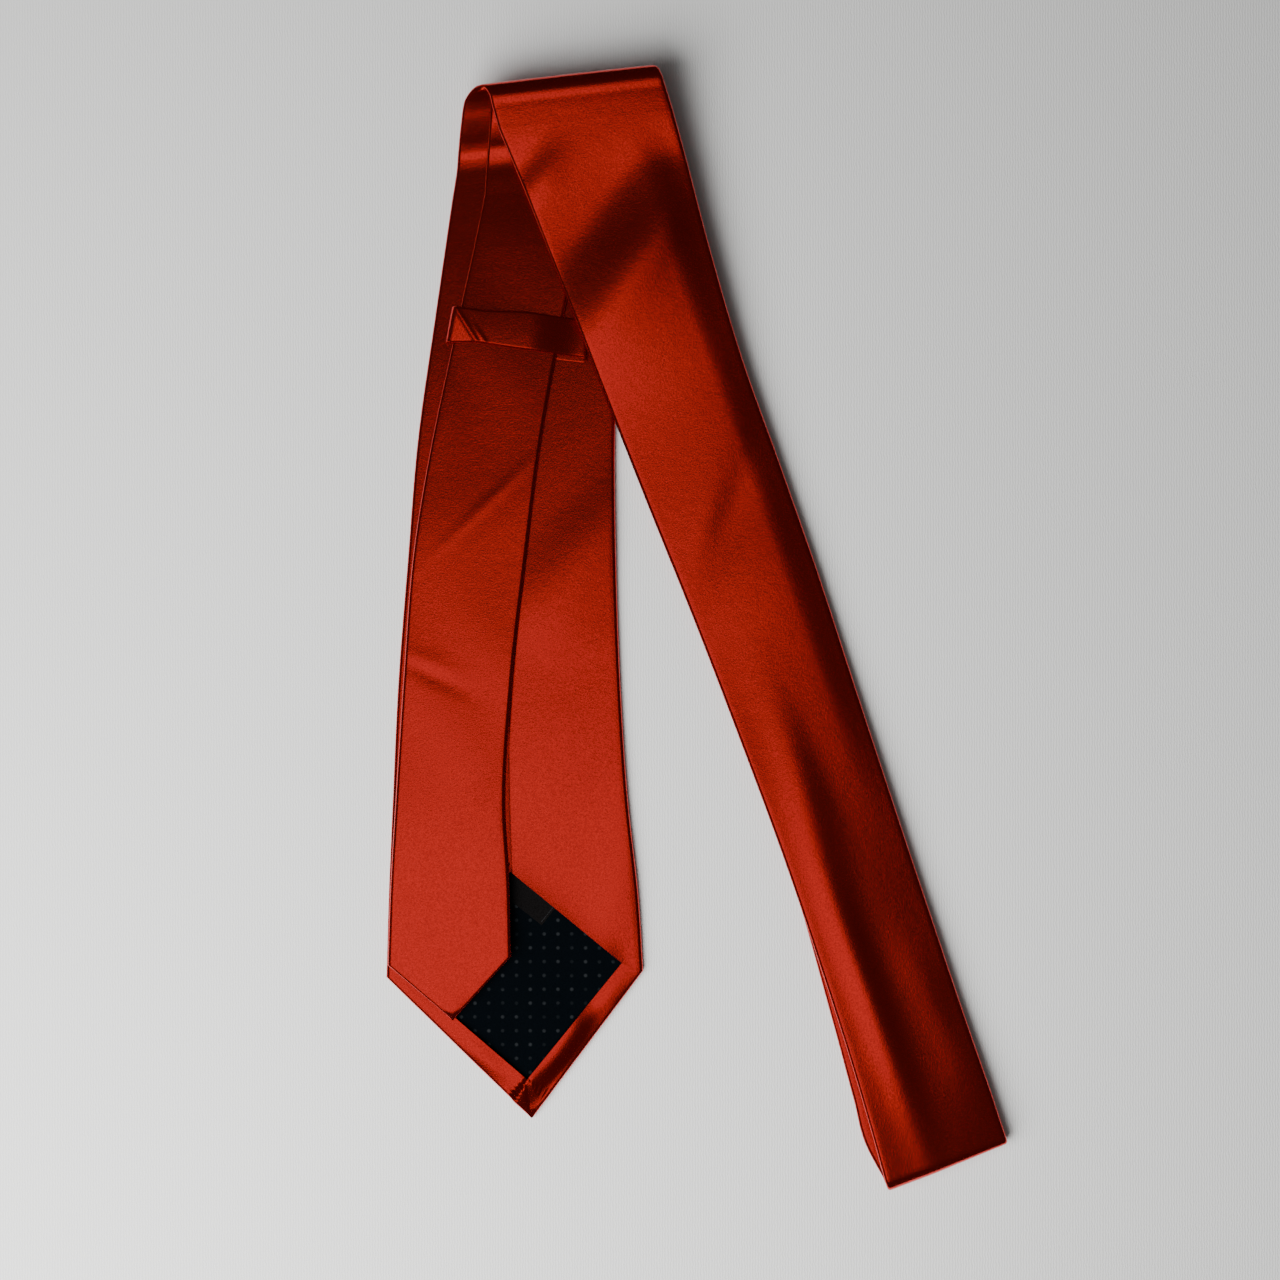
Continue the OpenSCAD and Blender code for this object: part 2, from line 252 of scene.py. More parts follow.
# its upper and lower edge across the tail: place along the loop, then place across it
KEEPER_UPPER = [(-22.9, 6.7), (-12.4, 6.2), (1.2, 7.2), (14.9, 6.8), (24.6, 6.5)]
KEEPER_LOWER = [(-24.2, -5.8), (-13.7, -4.9), (-2.5, -5.6), (14.0, -6.1), (24.6, -6.3)]
KEEPER_BENDS = (-22.0, 22.4)  # places along it where the band starts to turn under
KEEPER_BULGE = (1.6, 1.8)  # how far each rounded end reaches beyond that
KEEPER_MEETS = (1.0, 1.4)  # where the band's two ends meet under the tail
UNDER_Z, OVER_Z = 2.62, 6.45  # heights of the band's middle under and over the tail
UNDER_SHIFT = 1.9  # how far the lower part shows beyond the upper one at the right
UNDER_THIN = 0.35  # how thin the pressed lower part is, as a share of the upper one
RIGHT_DROP = 2.9  # how far the upper part comes down at its right end
LEFT_LEAN = 0.55  # how far the left end slants over half the band's width
# the left upper corner is folded over: a point of the crease, the way across it and the slope
EAR_AT, EAR_ACROSS, EAR_SLOPE = (-22.6, 6.4), (0.79, 0.61), 0.16
EAR_CREASES = [(0.0, 0.18), (2.3, 0.16)]  # distance from the fold and height of its two creases
EAR_CREASE_WIDTH = 0.7
TACK_PLACES = (-6.3, -3.3, -0.3, 2.7)  # where the tack's stitches lie across the loop
TACK_AT, TACK_HALF, TACK_Z = 23.2, 1.3, 2.95  # their middle along it, half length and height

# the opening in the blade's back
BLADE_APEX = np.array([-64.4, -83.9])
WINDOW_LEFT = np.array([-103.6, -117.4])
WINDOW_TIP = np.array([-58.7, -155.9])
WINDOW_RIGHT = np.array([-25.8, -115.6])
TAIL_APEX = np.array([-85.3, -97.0])
TAIL_WINDOW = [TAIL_APEX, (-102.5, -112.4), (-84.4, -129.5), (-68.3, -110.8)]


# ---------------------------------------------------------------- heights
# folds of the wide blade and, below, of the tail, each as for the strip's front layer
BLADE_FOLDS = [
    ((-24, -74), 80, 40, 9, 0.35),
    ((-45, 22), 48, 40, 15, 0.62),  # fold in the right flap, slanting down to the tail
    ((-39, -17), 40, 9, 4, -0.25),
]
# low pads along the hems of the point: share of the way from the tip, and height
HEM_PADS = [(0.36, 0.5), (0.85, 0.35)]
HEM_PAD_TIP, HEM_PAD_END = (0, -7), (0, -5)  # from the opening's corners to the hem's middle
HEM_PAD_SIZE = (11, 3.6)


def blade_mid(x, y):
    z = ripple(x, y, 46, 0.10, 0.4) + sum(ridge(x, y, *fold) for fold in BLADE_FOLDS)
    for end, lean in ((WINDOW_RIGHT, 48), (WINDOW_LEFT, -40)):
        for share, rise in HEM_PADS:
            at = (WINDOW_TIP + HEM_PAD_TIP) * (1 - share) + (end + HEM_PAD_END) * share
            z = z + ridge(x, y, at, lean, *HEM_PAD_SIZE, rise)
    return BLADE_MID + above_table(z) * calm(x, y)


def above_table(z):
    """Keeps a layer's swellings and flattens its hollows, which would dip into the table."""
    return (z + np.sqrt(z * z + 0.02)) / 2 - 0.07


TAIL_FOLDS = [
    ((-72, 44), 44, 21, 1.7, 0.13),  # crease slanting down from the right edge
    ((-91, -16), -27, 13, 2.4, -0.16),  # pinches at the left edge
    ((-93, -11), -20, 11, 3.0, 0.10),
    ((-77, -72), 62, 22, 6, 0.22),
]
TAIL_RISE = 0.35  # how much higher the tail's lower part lies on the blade


def tail_mid(x, y):
    z = ripple(x, y, 52, 0.12, 1.1) + sum(ridge(x, y, *fold) for fold in TAIL_FOLDS)
    return TAIL_MID + TAIL_RISE * smooth(-y, 20, 110) + z * calm(x, y)


# The right strip comes off the fold and lies over the keeper and the blade down to the table:
# distance down it and height of its underside. Near the fold the lines of equal height run
# along the fold, and lower down straight across the strip.
STRIP_RESTS = [
    (0, 10.6), (15, 8.7), (30, 7.15), (45, 6.0), (60, 5.15), (80, 4.15), (110, 2.2), (140, 1.0),
    (175, 0.35), (210, 0.1), (STRIP_END + 30, 0.1),
]
REST_KEYS = curve(STRIP_RESTS, 2.0)
FOLD_SLANT = 0.233  # how much sooner the strip's right side starts down, for each mm across it


def strip_rest(s, t):
    """Height of the strip's underside."""
    down = s - FOLD_SLANT * t * (1 - smooth(s, 60, 220))
    return np.interp(down, REST_KEYS[:, 0], REST_KEYS[:, 1])


END_SLOPE = 0.12  # slope of both layers where they leave the fold's piece
STRIP_MID = HALF + 0.2  # from a strip layer's underside to its middle
STRIP_GAP = 2.33  # between the middles of the strip's two layers
LEAN, END_LEAN = 0.045, 0.02  # the front layer's rise towards its left, and more of it at the end
END_RISE = 0.4  # how much further the layers part towards the lower end
RIGHT_EDGE = 0.8  # how far the front layer's right edge hangs down beside the layer under it


def from_bend(z, x, y, end_z):
    """Leads a layer's height into the height and slope where the top fold's piece ends."""
    b = to_fold(x, y)[1]
    start = end_z + END_SLOPE * (b - FOLD_END)
    return start + (z - start) * smooth(-b, -FOLD_END, -FOLD_END + 22)


def calm(x, y):
    """0 where the top fold's pieces begin, so that they meet the flat ones evenly."""
    return smooth(-to_fold(x, y)[1], -FOLD_START, -FOLD_START + 16)


# the front layer's folds and hollows: middle, angle, length, width and height of each
FRONT_FOLDS = [
    ((-60.1, 161.8), 66, 14, 6, -0.60),  # dimple beside the left edge, under the crest
    ((-51.9, 158.2), 66, 14, 6, 0.60),
    ((-35.6, 141.9), 56, 36, 8, -0.60),  # the trough between the crest and the keeper
    ((-19.6, 128.9), 56, 38, 10, 1.15),  # the ridge below it
    ((-12.0, 117.0), 56, 34, 16, 0.80),
    ((3.5, 41.5), 73, 24, 6.5, 0.24),
    ((12.5, 38.5), 73, 24, 6.5, -0.24),  # hollow half way down
    ((37, -52), -70, 32, 6, 0.45),
    ((58, -122), -70, 56, 5.5, 0.80),  # ridge up the left side of the lower end
    ((84, -133), -66, 30, 6, 0.20),
]


def back_mid(x, y):
    """Middle of the strip's back layer, which follows the front's folds where nothing holds it."""
    s, t = to_strip(x, y)
    rest = strip_rest(s, t)
    z = rest + STRIP_MID + front_bumps(x, y) * smooth(rest, 0.8, 3.5)
    return from_bend(z, x, y, INNER_LINE[-1][1])


def front_bumps(x, y):
    z = ripple(x, y, 60, 0.10, 2.0)
    for at, angle, length, width, height in FRONT_FOLDS:
        z = z + ridge(x, y, at, angle, length, width, height)
    return z


def front_mid(x, y):
    s, t = to_strip(x, y)
    lean = LEAN * smooth(s, 190, 270) + END_LEAN * smooth(s, 335, 375)
    gap = STRIP_GAP + lean * np.maximum(23 - t, 0) + END_RISE * smooth(s, 330, STRIP_END)
    gap = gap - RIGHT_EDGE * smooth(t, 15, 29) * (1 - smooth(s, 200, 280))
    z = strip_rest(s, t) + STRIP_MID + gap + front_bumps(x, y)
    return from_bend(z, x, y, OUTER_LINE[-1][1])


# ---------------------------------------------------------------- meshes
def make(name, verts, faces, material):
    mesh = bpy.data.meshes.new(name)
    mesh.from_pydata([tuple(v) for v in np.asarray(verts, float) * MM], [], faces)
    mesh.validate()
    obj = bpy.data.objects.new(name, mesh)
    bpy.context.collection.objects.link(obj)
    for p in mesh.polygons:
        p.use_smooth = True
    mesh.materials.append(material)
    return obj


def grid_faces(rows, cols, wrap_rows=False, wrap_cols=False):
    faces = []
    for i in range(rows if wrap_rows else rows - 1):
        for j in range(cols if wrap_cols else cols - 1):
            k, m = (i + 1) % rows, (j + 1) % cols
            faces.append((i * cols + j, i * cols + m, k * cols + m, k * cols + j))
    return faces


ROLL = 6  # steps round each quarter of a rolled edge


def section(across):
    """Round a layer's cross-section, from its back seam to the left edge, across the face and
    back from the right edge: place on the flat part, place on the edge, place through the layer."""
    turn = np.radians(np.linspace(90, -90, 2 * ROLL + 1))[1:-1]
    back = np.linspace(0, -1, across // 2 + 1)
    face = np.linspace(-1, 1, across + 1)
    flat = np.r_[back, -np.ones(len(turn)), face, np.ones(len(turn)), -back[::-1]]
    edge = np.r_[0 * back, -np.cos(turn), 0 * face, np.cos(turn), 0 * back]
    through = np.r_[0 * back + 1, np.sin(turn), 0 * face - 1, np.sin(turn[::-1]), 0 * back + 1]
    return flat, edge, through


def layer_points(rows, place, across=30, half=HALF, puff=PUFF, edge=EDGE, seam_dip=0.25):
    """Points of a hollow layer: rows of left and right ends, placed in space by
    place(x, y, out), where out is the distance from the layer's middle towards its back."""
    flat, roll, through = section(across)
    left, right = rows[:, 0:2], rows[:, 2:4]
    width = np.linalg.norm(right - left, axis=1)
    unit = (right - left) / np.maximum(width, 1e-6)[:, None]
    reach = np.minimum(edge, 0.42 * width)
    lateral = np.outer(width / 2 - reach, flat) + np.outer(reach, roll)
    thick = (half * np.minimum(1, width / 5))[:, None] * (1 + puff * (1 - flat**2))[None, :]
    out = thick * through
    near_seam = np.exp(-((lateral / 1.2) ** 2)) * (through > 0.99)
    out = out - seam_dip * near_seam
    middle = (left + right) / 2
    p = middle[:, None, :] + lateral[..., None] * unit[:, None, :]
    return place(p[..., 0], p[..., 1], out)


def lay_flat(mid, back_up):
    """A place function for a layer that lies down: its back is up or down."""
    sign = 1 if back_up else -1

    def place(x, y, out):
        return np.stack([x, y, mid(x, y) + sign * out], -1)

    return place


def bend_points(points, inset=0.0, across=30, **kw):
    """A layer led round the top fold along a line of places over the fold, heights and ends."""
    line = curve(points, 0.8)
    step = np.gradient(line[:, 0:2], axis=0)
    step /= np.linalg.norm(step, axis=1)[:, None]
    index = np.arange(len(line))
    rows = np.column_stack([line[:, 2] + inset, index, line[:, 3] - inset, index])

    def place(a, i, out):
        i = np.rint(i).astype(int)
        b = line[i, 0] - step[i, 1] * out
        z = line[i, 1] + step[i, 0] * out
        p = FOLD_AT + a[..., None] * ALONG + b[..., None] * OVER
        return np.concatenate([p, z[..., None]], -1)

    return layer_points(rows, place, across, **kw)


# ---------------------------------------------------------------- materials
def nodes_of(name):
    m = bpy.data.materials.new(name)
    m.use_nodes = True
    t = m.node_tree
    return m, t, t.nodes["Principled BSDF"]


def link(t, a, out, b, into):
    t.links.new(a.outputs[out], b.inputs[into])


def node(t, kind, **values):
    n = t.nodes.new(kind)
    for k, v in values.items():
        if k in n.inputs:
            n.inputs[k].default_value = v
        else:
            setattr(n, k, v)
    return n


def satin_material():
    m, t, shader = nodes_of("satin")
    where = node(t, "ShaderNodeTexCoord")
    grain = node(t, "ShaderNodeTexNoise", Scale=1900.0, Detail=3.0)
    slub = node(t, "ShaderNodeTexNoise", Scale=260.0, Detail=3.0)
    link(t, where, "Object", grain, "Vector")
    link(t, where, "Object", slub, "Vector")
    ramp = node(t, "ShaderNodeValToRGB")
    ramp.color_ramp.elements[0].position = 0.35
    ramp.color_ramp.elements[0].color = (0.52, 0.013, 0.007, 1)
    ramp.color_ramp.elements[1].position = 0.65
    ramp.color_ramp.elements[1].color = (0.74, 0.022, 0.012, 1)
    link(t, grain, "Fac", ramp, "Fac")
    link(t, ramp, "Color", shader, "Base Color")
    bump = node(t, "ShaderNodeBump", Strength=0.40, Distance=0.0001)
    link(t, grain, "Fac", bump, "Height")
    bump2 = node(t, "ShaderNodeBump", Strength=0.12, Distance=0.0003)
    link(t, slub, "Fac", bump2, "Height")
    link(t, bump, "Normal", bump2, "Normal")
    link(t, bump2, "Normal", shader, "Normal")
    shader.inputs["Metallic"].default_value = 0.97
    shader.inputs["Roughness"].default_value = 0.21
    shader.inputs["Coat Weight"].default_value = 0.35
    shader.inputs["Coat Roughness"].default_value = 0.3
    return m


def plain_cloth(name, dark, light, scale, rough=0.8, bump_height=0.0002):
    m, t, shader = nodes_of(name)
    where = node(t, "ShaderNodeTexCoord")
    weave = node(t, "ShaderNodeTexNoise", Scale=scale, Detail=4.0)
    link(t, where, "Object", weave, "Vector")
    ramp = node(t, "ShaderNodeValToRGB")
    ramp.color_ramp.elements[0].position = 0.35
    ramp.color_ramp.elements[0].color = (*dark, 1)
    ramp.color_ramp.elements[1].position = 0.65
    ramp.color_ramp.elements[1].color = (*light, 1)
    link(t, weave, "Fac", ramp, "Fac")
    link(t, ramp, "Color", shader, "Base Color")
    bump = node(t, "ShaderNodeBump", Strength=0.4, Distance=bump_height)
    link(t, weave, "Fac", bump, "Height")
    link(t, bump, "Normal", shader, "Normal")
    shader.inputs["Roughness"].default_value = rough
    shader.inputs["Specular IOR Level"].default_value = 0.1
    return m


def lining_material():
    """Near-black lining with a square grid of small, slightly uneven woven dots."""
    pitch, size = 0.0048, 0.00062
    m, t, shader = nodes_of("lining")
    where = node(t, "ShaderNodeTexCoord")
    uneven = node(t, "ShaderNodeTexNoise", Scale=190.0, Detail=1.0)
    link(t, where, "Object", uneven, "Vector")
    split = node(t, "ShaderNodeSeparateXYZ")
    link(t, where, "Object", split, "Vector")
    squares = []
    for axis in ("X", "Y"):
        cell = node(t, "ShaderNodeMath", operation="PINGPONG")
        link(t, split, axis, cell, 0)
        cell.inputs[1].default_value = pitch / 2
        square = node(t, "ShaderNodeMath", operation="POWER")
        link(t, cell, 0, square, 0)
        square.inputs[1].default_value = 2.0
        squares.append(square)
    total = node(t, "ShaderNodeMath", operation="ADD")
    link(t, squares[0], 0, total, 0)
    link(t, squares[1], 0, total, 1)
    far = node(t, "ShaderNodeMath", operation="SQRT")
    link(t, total, 0, far, 0)
    dot = node(t, "ShaderNodeMapRange", interpolation_type="SMOOTHSTEP")
    link(t, far, 0, dot, "Value")
    for socket, value in (("From Min", size * 1.35), ("From Max", size * 0.45),
                          ("To Min", 0.0), ("To Max", 1.0)):
        dot.inputs[socket].default_value = value
    faint = node(t, "ShaderNodeMapRange")
    link(t, uneven, "Fac", faint, "Value")
    for socket, value in (("From Min", 0.38), ("From Max", 0.60), ("To Min", 0.25),
                          ("To Max", 1.0)):
        faint.inputs[socket].default_value = value
    shown = node(t, "ShaderNodeMath", operation="MULTIPLY")
    link(t, dot, "Result", shown, 0)
    link(t, faint, "Result", shown, 1)
    weave = node(t, "ShaderNodeTexNoise", Scale=2200.0, Detail=2.0)
    link(t, where, "Object", weave, "Vector")
    ramp = node(t, "ShaderNodeValToRGB")
    ramp.color_ramp.elements[0].color = (0.0005, 0.0011, 0.0017, 1)
    ramp.color_ramp.elements[1].color = (0.0016, 0.0028, 0.0040, 1)
    link(t, weave, "Fac", ramp, "Fac")
    mix = node(t, "ShaderNodeMix", data_type="RGBA")
    link(t, shown, 0, mix, 0)
    link(t, ramp, "Color", mix, 6)
    mix.inputs[7].default_value = (0.015, 0.017, 0.019, 1)
    t.links.new(mix.outputs[2], shader.inputs["Base Color"])
    bump = node(t, "ShaderNodeBump", Strength=0.3, Distance=0.0001)
    link(t, weave, "Fac", bump, "Height")
    link(t, bump, "Normal", shader, "Normal")
    shader.inputs["Roughness"].default_value = 0.7
    shader.inputs["Specular IOR Level"].default_value = 0.06
    return m


def paper_material():
    m, t, shader = nodes_of("ribbed_paper")
    where = node(t, "ShaderNodeTexCoord")
    ribs = node(t, "ShaderNodeTexWave", Scale=330.0, Distortion=4.0, Detail=3.0)
    ribs.inputs["Detail Scale"].default_value = 1.5
    link(t, where, "Object", ribs, "Vector")
    bump = node(t, "ShaderNodeBump", Strength=0.22, Distance=0.0002)
    link(t, ribs, "Fac", bump, "Height")
    link(t, bump, "Normal", shader, "Normal")
    shader.inputs["Base Color"].default_value = (0.80, 0.80, 0.785, 1)
    shader.inputs["Roughness"].default_value = 0.85
    return m


SATIN = satin_material()
LINING = lining_material()
WOOLLEN = plain_cloth("wool_interlining", (0.62, 0.56, 0.45), (0.78, 0.73, 0.62), 900, 0.95)
THREAD = plain_cloth("red_thread", (0.16, 0.006, 0.004), (0.30, 0.012, 0.008), 3000, 0.6, 0.0001)
LABEL = plain_cloth("woven_label", (0.0030, 0.0026, 0.0026), (0.0060, 0.0052, 0.0052), 2600, 0.7)
BLACK_THREAD = plain_cloth("black_thread", (0.010, 0.010, 0.011), (0.03, 0.03, 0.032), 3000, 0.6)


# ---------------------------------------------------------------- pieces
def outward(points):
    """True where the grid's faces look away from the middle of each row."""
    along = points[1:, :-1] - points[:-1, :-1]
    across = points[:-1, 1:] - points[:-1, :-1]
    away = points[:-1, :-1] - points[:-1, :-1].mean(1, keepdims=True)
    return np.sum(np.cross(across, along) * away) > 0


def layer(name, points, material=SATIN, flip=None):
    n, m = points.shape[:2]
    faces = grid_faces(n, m)
    if not (outward(points) if flip is None else not flip):
        faces = [f[::-1] for f in faces]
    return make(name, points.reshape(-1, 3), faces, material)


def place_on(obj, bodies, nodes):
    """Parents a piece to the body it follows, or, for a pair of bodies, only bakes its transform in
    place; then hides the CAD nodes it stands for.
    """
    if isinstance(bodies, str):
        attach(obj, bodies)
    else:
        first, second, start, end = bodies
        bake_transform(obj)
        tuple(start)
        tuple(end)
    if nodes:
        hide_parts(*nodes)
    return obj


def declare(obj, rows):
    """Returns the piece as it is: it gives no flat cut.
    rows is not used. A piece with slanting rows gets a larger cut than it has."""
    return obj


def shrunk(rows, by, least=9.0):
    """Rows drawn in at both ends, without those too short for it."""
    left, right = rows[:, 0:2], rows[:, 2:4]
    width = np.linalg.norm(right - left, axis=1)
    keep = width > least
    unit = ((right - left) / np.maximum(width, 1e-6)[:, None])[keep]
    return np.hstack([left[keep] + by * unit, right[keep] - by * unit])


def padding(name, points, bodies, nodes, rows):
    """A closed strip of brushed wool inside a layer."""
    points = points[:, :-1]
    n, m = points.shape[:2]
    faces = grid_faces(n, m, wrap_cols=True)
    if not outward(points):
        faces = [f[::-1] for f in faces]
    faces += [tuple(range(m)), tuple(range((n - 1) * m, n * m))[::-1]]
    obj = make(name, points.reshape(-1, 3), faces, WOOLLEN)
    place_on(obj, bodies, nodes)
    return declare(obj, rows)


WOOL_HALF = 0.3
WOOL_INSET = 2.3
TAIL_WOOL_INSET = 3.2  # clear of the keeper as the tail slides
WOOL_SHIFT = -0.15  # from a layer's middle towards its face
WOOL = dict(half=WOOL_HALF, edge=WOOL_HALF, puff=0.0, seam_dip=0.0, across=16)


def shifted(place, by):
    return lambda x, y, out: place(x, y, out + by)


def tube_mesh(lines, radius, sides=7):
    """One mesh of round thread along several lines of points."""
    verts, faces = [], []
    for line in lines:
        line = np.asarray(line, float)
        step = np.gradient(line, axis=0)
        step /= np.linalg.norm(step, axis=1)[:, None]
        side = np.cross(step, [0.31, 0.17, 0.94])
        side /= np.linalg.norm(side, axis=1)[:, None]
        up = np.cross(side, step)
        turn = np.linspace(0, 2 * math.pi, sides, endpoint=False)
        ring = line[:, None] + radius * (np.cos(turn)[None, :, None] * side[:, None]
                                         + np.sin(turn)[None, :, None] * up[:, None])
        base = len(verts)
        verts += list(ring.reshape(-1, 3))
        n = len(line)
        faces += [tuple(base + k for k in f) for f in grid_faces(n, sides, wrap_cols=True)]
        faces += [tuple(base + k for k in range(sides))[::-1],
                  tuple(base + (n - 1) * sides + k for k in range(sides))]
    return verts, faces


def thread(name, lines, bodies, nodes, material=None, radius=0.16):
    verts, faces = tube_mesh(lines, radius)
    obj = make(name, verts, faces, material or THREAD)
    return place_on(obj, bodies, nodes)


def slip_stitches(name, rows, place, bodies, nodes, out=1.17, every=12.0, slant=0.8, length=2.6):
    """Small slanting stitches that close a layer's back seam."""
    middle = (rows[:, 0:2] + rows[:, 2:4]) / 2
    run = np.r_[0, np.cumsum(np.linalg.norm(np.diff(middle, axis=0), axis=1))]
    lines = []
    for at in np.arange(every / 2, run[-1] - length, every):
        along = at + np.linspace(0, length, 7)
        f = np.linspace(-1, 1, 7)
        x = np.interp(along, run, middle[:, 0]) + slant * f
        y = np.interp(along, run, middle[:, 1])
        lines.append(place(x, y, out - 0.35 * f**4))
    return thread(name, lines, bodies, nodes)


def bar_tack(name, at, turn, place, out, bodies, nodes, half=4.0, material=None):
    """A short close zigzag of thread across the top of an opening."""
    c, s = math.cos(math.radians(turn)), math.sin(math.radians(turn))
    f = np.linspace(-1, 1, 49)
    u, v = half * f, 0.75 * (2 * np.abs((12 * f) % 2 - 1) - 1)
    x, y = at[0] + c * u - s * v, at[1] + s * u + c * v
    return thread(name, [place(x, y, out + 0 * x)], bodies, nodes, material, 0.14)


STEP, STRIP_STEP = 1.6, 1.4  # between the rows of the blade and the tail, and of the strip


def tipped_rows(tip, rows, step=STEP):
    """Rows from the tip's point up both slanting edges, then along the sides."""
    first = np.r_[tip[0] - 0.25, tip[1], tip[0] + 0.25, tip[1]]
    point = straight(first, rows[0], 1.2)
    return np.vstack([point[:-1], curve(rows, step, rows=True)])


FACES_BACK = 0.3  # least upright part of the normal of a face that belongs to the back
CUT_REACH = 2 * MM  # how far past its ends a cut still divides the cloth
CUT_BEYOND = 0.3  # how far the flaps' lines run past the opening, as a share of their length
ON_LINE = 0.02 * MM  # how near a point on a line lies to it
HEM_WIDTH = 8.0  # distance from the hem's inner edge over which its lift fades
FLAP_CURL = 4 * MM  # distance over which a flap's raised edge sinks back
FLAP_CURL_END = 20 * MM  # no part of a flap further than this above the apex is raised
FLAP_CURL_SHARE = 0.82  # the part of a flap's edge that is raised
FLAP_TURN, HEM_TURN = 0.5, 0.55  # depth of the turned-in rims of the flaps and of the hem


def beside(p, a, b):
    """How far p lies to the left of the line from a to b, times the line's length."""
    return (b.x - a.x) * (p.y - a.y) - (b.y - a.y) * (p.x - a.x)


class Opening:
    """The opening in a layer's back: the apex where its two flaps part, the corners at its sides
    and its point, with the tip of the hem below."""

    def __init__(self, corners, tip, up):
        points = [Vector((p[0] * MM, p[1] * MM, 0)) for p in [*corners, tip]]
        self.apex, self.left, self.point, self.right, self.tip = points
        self.up = 1 if up else -1
        self.far_left = self.left + (self.left - self.apex) * CUT_BEYOND
        self.far_right = self.right + (self.right - self.apex) * CUT_BEYOND

    def on_back(self, face):
        return face.normal.z * self.up > FACES_BACK

    def off_flap(self, p):
        """How far p is below the flap's edge on its own side of the apex."""
        on_left = p.x < self.apex.x
        corner = self.left if on_left else self.right
        return beside(p, self.apex, corner) * (1 if on_left else -1) / (corner - self.apex).length

    def on_flap_edge(self, edge):
        return all(abs(self.off_flap(v.co)) < ON_LINE for v in edge.verts)

    def holds(self, p):
        """True for a point below the flaps that is inside the opening, not on the hem."""
        return beside(p, self.left, self.point) > 0 and beside(p, self.point, self.right) > 0

    def cuts(self):
        return ((self.apex, self.far_left), (self.apex, self.far_right),
                (self.left, self.point), (self.point, self.right), (self.point, self.tip))


def cut_cloth(bm, opening):
    """Divides the back's faces along the opening's edges and the hem's mitre."""
    for a, b in opening.cuts():
        d = (b - a).normalized()
        faces = [
            f for f in bm.faces
            if opening.on_back(f) and -CUT_REACH < (f.calc_center_median() - a).xy.dot(d.xy)
            < (b - a).length + CUT_REACH
        ]
        geom = dict.fromkeys(faces)
        for f in faces:
            geom.update(dict.fromkeys(f.edges))
            geom.update(dict.fromkeys(f.verts))
        bmesh.ops.bisect_plane(bm, geom=list(geom), dist=1e-7, plane_co=a,
                               plane_no=(-d.y, d.x, 0))
    bm.normal_update()


def take_out(bm, opening):
    """Removes the cloth inside the opening, frees the hem from the flaps and gives the hem's
    faces."""
    gone, hem = [], []
    for f in bm.faces:
        c = f.calc_center_median()
        if opening.on_back(f) and opening.off_flap(c) > 0:
            (gone if opening.holds(c) else hem).append(f)
    bmesh.ops.delete(bm, geom=gone, context="FACES")
    hem = {f for f in hem if f.is_valid}
    parting = dict.fromkeys(
        e for f in hem for e in f.edges
        if opening.on_flap_edge(e)
        and any(g not in hem and opening.on_back(g) for g in e.link_faces)
    )
    bmesh.ops.split_edges(bm, edges=list(parting))
    return hem


def rims(bm, opening, hem):
    """The free edges of the flaps and of the hem."""
    flap_rim, hem_rim = [], []
    for e in bm.edges:
        if len(e.link_faces) != 1 or not opening.on_back(e.link_faces[0]):
            continue
        on_hem = e.link_faces[0] in hem
        if opening.on_flap_edge(e) and not on_hem:
            flap_rim.append(e)
        elif on_hem and not opening.on_flap_edge(e):
            hem_rim.append(e)
    return flap_rim, hem_rim


def raise_hem(opening, verts, left_rise, right_rise):
    """Lifts the hem's inner edge beside the opening's point."""
    for v in verts:
        for a, b, rise in ((opening.left, opening.point, left_rise),
                           (opening.point, opening.right, right_rise)):
            off = -beside(v.co, a, b) / (b - a).length / MM
            along = (v.co - opening.point).xy.length / (b - a).length
            near = smooth(HEM_WIDTH - off, 0, HEM_WIDTH) * (off >= -0.01)
            v.co.z += opening.up * rise * MM * near * (1 - smooth(along, 0.45, 0.7))


def curl_flaps(bm, opening, still, lift):
    """Raises the flaps' free edges a little off the lining."""
    reach = {True: abs(opening.far_left.x - opening.apex.x),
             False: abs(opening.far_right.x - opening.apex.x)}
    for v in bm.verts:
        if v in still or not any(opening.on_back(f) for f in v.link_faces):
            continue
        if v.co.y > opening.apex.y + FLAP_CURL_END:
            continue
        aside = abs(v.co.x - opening.apex.x)
        inner = 1 - min(1, aside / (FLAP_CURL_SHARE * reach[v.co.x < opening.apex.x]))
        near = math.exp(-abs(opening.off_flap(v.co)) / FLAP_CURL) * float(smooth(inner, 0, 0.2))
        v.co.z += opening.up * lift * MM * near


def open_back(obj, corners, tip, up, lift, hem_rise=(0, 0)):
    """Cuts the opening out of a layer's back, parts the flaps from the hem and turns their
    free edges down."""
    opening = Opening(corners, tip, up)
    bm = bmesh.new()
    bm.from_mesh(obj.data)
    bm.normal_update()
    cut_cloth(bm, opening)
    hem = take_out(bm, opening)
    hem_verts = {v for f in hem for v in f.verts}
    flap_rim, hem_rim = rims(bm, opening, hem)
    raise_hem(opening, hem_verts, *hem_rise)
    curl_flaps(bm, opening, hem_verts, lift)
    for edges, drop in ((flap_rim, FLAP_TURN), (hem_rim, HEM_TURN)):
        for e in edges:
            e.smooth = False
        made = bmesh.ops.extrude_edge_only(bm, edges=edges)["geom"]
        for v in made:
            if isinstance(v, bmesh.types.BMVert):
                v.co.z -= opening.up * drop * MM
    bm.to_mesh(obj.data)
    bm.free()
    for p in obj.data.polygons:
        p.use_smooth = True


SEAM_HIDES = 3.0  # how far the blade's seam runs under the tail's edge
PLACE_BLADE = lay_flat(blade_mid, True)
PLACE_TAIL = lay_flat(tail_mid, False)
PLACE_FRONT = lay_flat(front_mid, False)
PLACE_BACK = lay_flat(back_mid, True)


